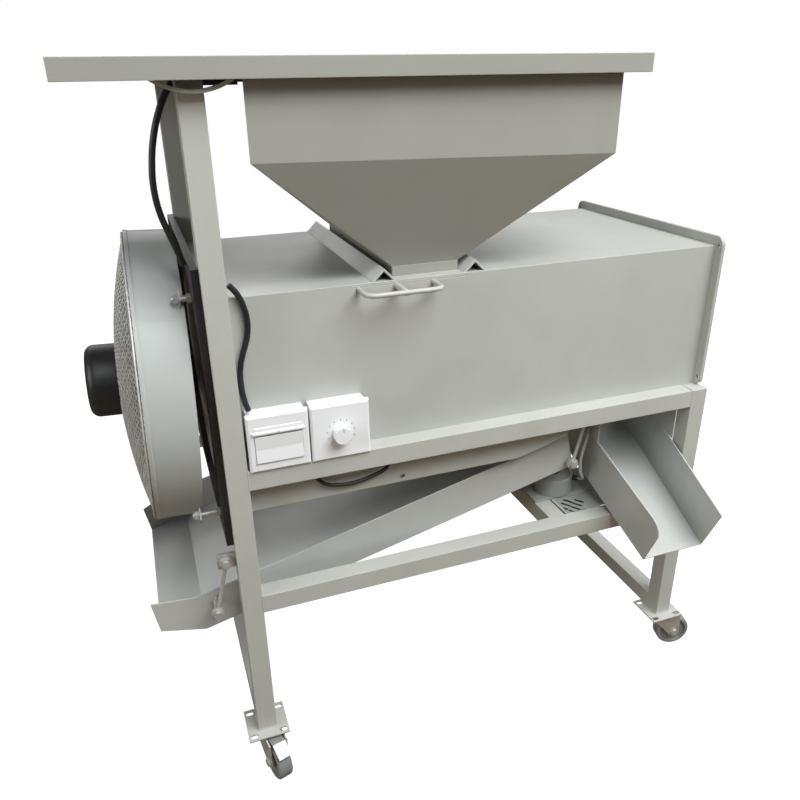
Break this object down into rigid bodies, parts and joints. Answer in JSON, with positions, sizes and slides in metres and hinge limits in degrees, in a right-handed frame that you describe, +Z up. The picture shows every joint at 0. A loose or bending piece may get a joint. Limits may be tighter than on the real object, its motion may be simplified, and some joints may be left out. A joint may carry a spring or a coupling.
{
  "type": "winnowing machine",
  "caption": "Electric grain winnower on a square-tube caster frame: feed tray and hopper over a wind box, guarded end fan, swinging grain trough and side outlet chute.",
  "frame": {"origin": "on the floor, under the middle of the machine's overall box", "axes": "+X along the wind box from the fan to the chaff outlet, +Y from the control side to the rear, +Z up"},
  "size_m": [1.0363, 0.601, 1.085],
  "materials": {
    "frame_paint": "satin enamel",
    "box_sheet": "satin enamel",
    "tray_sheet": "satin enamel",
    "trough_sheet": "semi-gloss enamel",
    "drum_enamel": "gloss enamel",
    "black_paint": "satin black",
    "rotor_red": "gloss",
    "guard_wire": "galvanised woven wire",
    "dark_steel": "matt black",
    "zinc": "bright zinc",
    "switch_white": "gloss white",
    "motor_grey": "grey enamel",
    "wheel_grey": "grey tread",
    "cable_black": "black sheath",
    "cable_grey": "light grey sheath"
  },
  "bodies": {
    "frame": {"left_posts": "frame_paint", "right_legs": "frame_paint", "mid_rails": "frame_paint", "cross_rails": "frame_paint", "lower_rails": "frame_paint", "side_rails": "frame_paint", "motor_rails": "frame_paint", "wind_box": "box_sheet", "outlet_flange": "box_sheet", "grain_divider": "box_sheet", "hopper_irons": "frame_paint", "neck_collar": "tray_sheet", "hopper": "tray_sheet", "feed_tray": "tray_sheet", "tray_bearers": "dark_steel", "tray_strap": "tray_sheet", "fan_plate": "black_paint", "fan_drum": "drum_enamel", "fan_guard": "guard_wire", "fan_spider": "dark_steel", "fan_motor": "black_paint", "fan_bolts": "zinc", "switch_box": "switch_white", "dial_box": "switch_white", "switch_plate": "switch_white", "dial_plate": "switch_white", "gate_guides": "box_sheet", "link_brackets": "zinc", "outlet_chute": "trough_sheet", "drive_base": "frame_paint", "drive_motor": "motor_grey", "caster_plates": "frame_paint", "fan_cable": "cable_black", "switch_cable": "cable_black", "loop_cable": "cable_black", "motor_cable": "cable_grey"},
    "fan_rotor": {"fan_rotor": "rotor_red"},
    "feed_gate": {"feed_gate": "box_sheet"},
    "rocker": {"rocker": "switch_white"},
    "speed_knob": {"speed_knob": "switch_white"},
    "link_front_left": {"link_front_left": "zinc"},
    "link_rear_left": {"link_rear_left": "zinc"},
    "link_front_right": {"link_front_right": "zinc"},
    "link_rear_right": {"link_rear_right": "zinc"},
    "trough": {"trough": "trough_sheet", "trough_bolts": "zinc", "push_bracket": "dark_steel"},
    "push_rod": {"push_rod": "dark_steel"},
    "drive_crank": {"drive_crank": "dark_steel"},
    "fork_front_left": {"fork_front_left": "zinc"},
    "wheel_front_left": {"wheel_front_left": "wheel_grey"},
    "brake_front_left": {"brake_front_left": "zinc"},
    "fork_rear_left": {"fork_rear_left": "zinc"},
    "wheel_rear_left": {"wheel_rear_left": "wheel_grey"},
    "brake_rear_left": {"brake_rear_left": "zinc"},
    "fork_front_right": {"fork_front_right": "zinc"},
    "wheel_front_right": {"wheel_front_right": "wheel_grey"},
    "fork_rear_right": {"fork_rear_right": "zinc"},
    "wheel_rear_right": {"wheel_rear_right": "wheel_grey"}
  },
  "joints": [
    {"name": "fan_spin", "type": "hinge", "parent": "frame", "child": "fan_rotor", "pos_m": [-0.41882, 0.04797, 0.64118], "axis": [0.999, 0, -0.0454], "continuous": true},
    {"name": "gate_slide", "type": "slide", "parent": "frame", "child": "feed_gate", "axis": [0, -1, 0], "range_m": [0, 0.15]},
    {"name": "rocker_tilt", "type": "hinge", "parent": "frame", "child": "rocker", "pos_m": [-0.27234, -0.17353, 0.598], "axis": [1, 0, 0], "range_deg": [-4, 4]},
    {"name": "knob_turn", "type": "hinge", "parent": "frame", "child": "speed_knob", "pos_m": [-0.18434, -0.17853, 0.604], "axis": [0, 1, 0], "range_deg": [0, 270]},
    {"name": "link_front_left_swing", "type": "hinge", "parent": "frame", "child": "link_front_left", "pos_m": [-0.36384, -0.16053, 0.415], "axis": [0, 1, 0], "range_deg": [-2.5, 2.5]},
    {"name": "link_rear_left_swing", "type": "hinge", "parent": "frame", "child": "link_rear_left", "pos_m": [-0.36384, 0.25647, 0.415], "axis": [0, 1, 0], "range_deg": [-2.5, 2.5]},
    {"name": "link_front_right_swing", "type": "hinge", "parent": "frame", "child": "link_front_right", "pos_m": [0.25516, -0.13653, 0.533], "axis": [0, 1, 0], "range_deg": [-2.5, 2.5]},
    {"name": "link_rear_right_swing", "type": "hinge", "parent": "frame", "child": "link_rear_right", "pos_m": [0.25516, 0.23247, 0.533], "axis": [0, 1, 0], "range_deg": [-2.5, 2.5]},
    {"name": "trough_swing", "type": "hinge", "parent": "link_front_left", "child": "trough", "pos_m": [-0.38488, -0.16053, 0.32801], "axis": [0, 1, 0], "range_deg": [-2.5, 2.5]},
    {"name": "push_rod_turn", "type": "hinge", "parent": "trough", "child": "push_rod", "pos_m": [0.14466, -0.06253, 0.3975], "axis": [0, 0, 1], "range_deg": [-1, 1]},
    {"name": "crank_spin", "type": "hinge", "parent": "frame", "child": "drive_crank", "pos_m": [0.24466, -0.06253, 0.391], "axis": [0, 0, 1], "continuous": true},
    {"name": "swivel_front_left", "type": "hinge", "parent": "frame", "child": "fork_front_left", "pos_m": [-0.33384, -0.15953, 0.077], "axis": [0, 0, 1], "continuous": true},
    {"name": "roll_front_left", "type": "hinge", "parent": "fork_front_left", "child": "wheel_front_left", "pos_m": [-0.32504, -0.19237, 0.0325], "axis": [0.9659, 0.2588, 0], "continuous": true},
    {"name": "pedal_front_left", "type": "hinge", "parent": "fork_front_left", "child": "brake_front_left", "pos_m": [-0.32814, -0.18078, 0.068], "axis": [0.9659, 0.2588, 0], "range_deg": [0, 8]},
    {"name": "swivel_rear_left", "type": "hinge", "parent": "frame", "child": "fork_rear_left", "pos_m": [-0.33384, 0.25547, 0.077], "axis": [0, 0, 1], "continuous": true},
    {"name": "roll_rear_left", "type": "hinge", "parent": "fork_rear_left", "child": "wheel_rear_left", "pos_m": [-0.32333, 0.22313, 0.0325], "axis": [0.9511, 0.309, 0], "continuous": true},
    {"name": "pedal_rear_left", "type": "hinge", "parent": "fork_rear_left", "child": "brake_rear_left", "pos_m": [-0.32704, 0.23455, 0.068], "axis": [0.9511, 0.309, 0], "range_deg": [0, 8]},
    {"name": "swivel_front_right", "type": "hinge", "parent": "frame", "child": "fork_front_right", "pos_m": [0.45116, -0.15953, 0.077], "axis": [0, 0, 1], "continuous": true},
    {"name": "roll_front_right", "type": "hinge", "parent": "fork_front_right", "child": "wheel_front_right", "pos_m": [0.48415, -0.16776, 0.0325], "axis": [0.2419, 0.9703, 0], "continuous": true},
    {"name": "swivel_rear_right", "type": "hinge", "parent": "frame", "child": "fork_rear_right", "pos_m": [0.45116, 0.25547, 0.077], "axis": [0, 0, 1], "continuous": true},
    {"name": "roll_rear_right", "type": "hinge", "parent": "fork_rear_right", "child": "wheel_rear_right", "pos_m": [0.46499, 0.22441, 0.0325], "axis": [0.9135, 0.4067, 0], "continuous": true}
  ],
  "couplings": [
    {"joint": "link_rear_left_swing", "follows": "link_front_left_swing", "ratio": 1},
    {"joint": "link_front_right_swing", "follows": "link_front_left_swing", "ratio": 1},
    {"joint": "link_rear_right_swing", "follows": "link_front_left_swing", "ratio": 1},
    {"joint": "trough_swing", "follows": "link_front_left_swing", "ratio": -1}
  ]
}
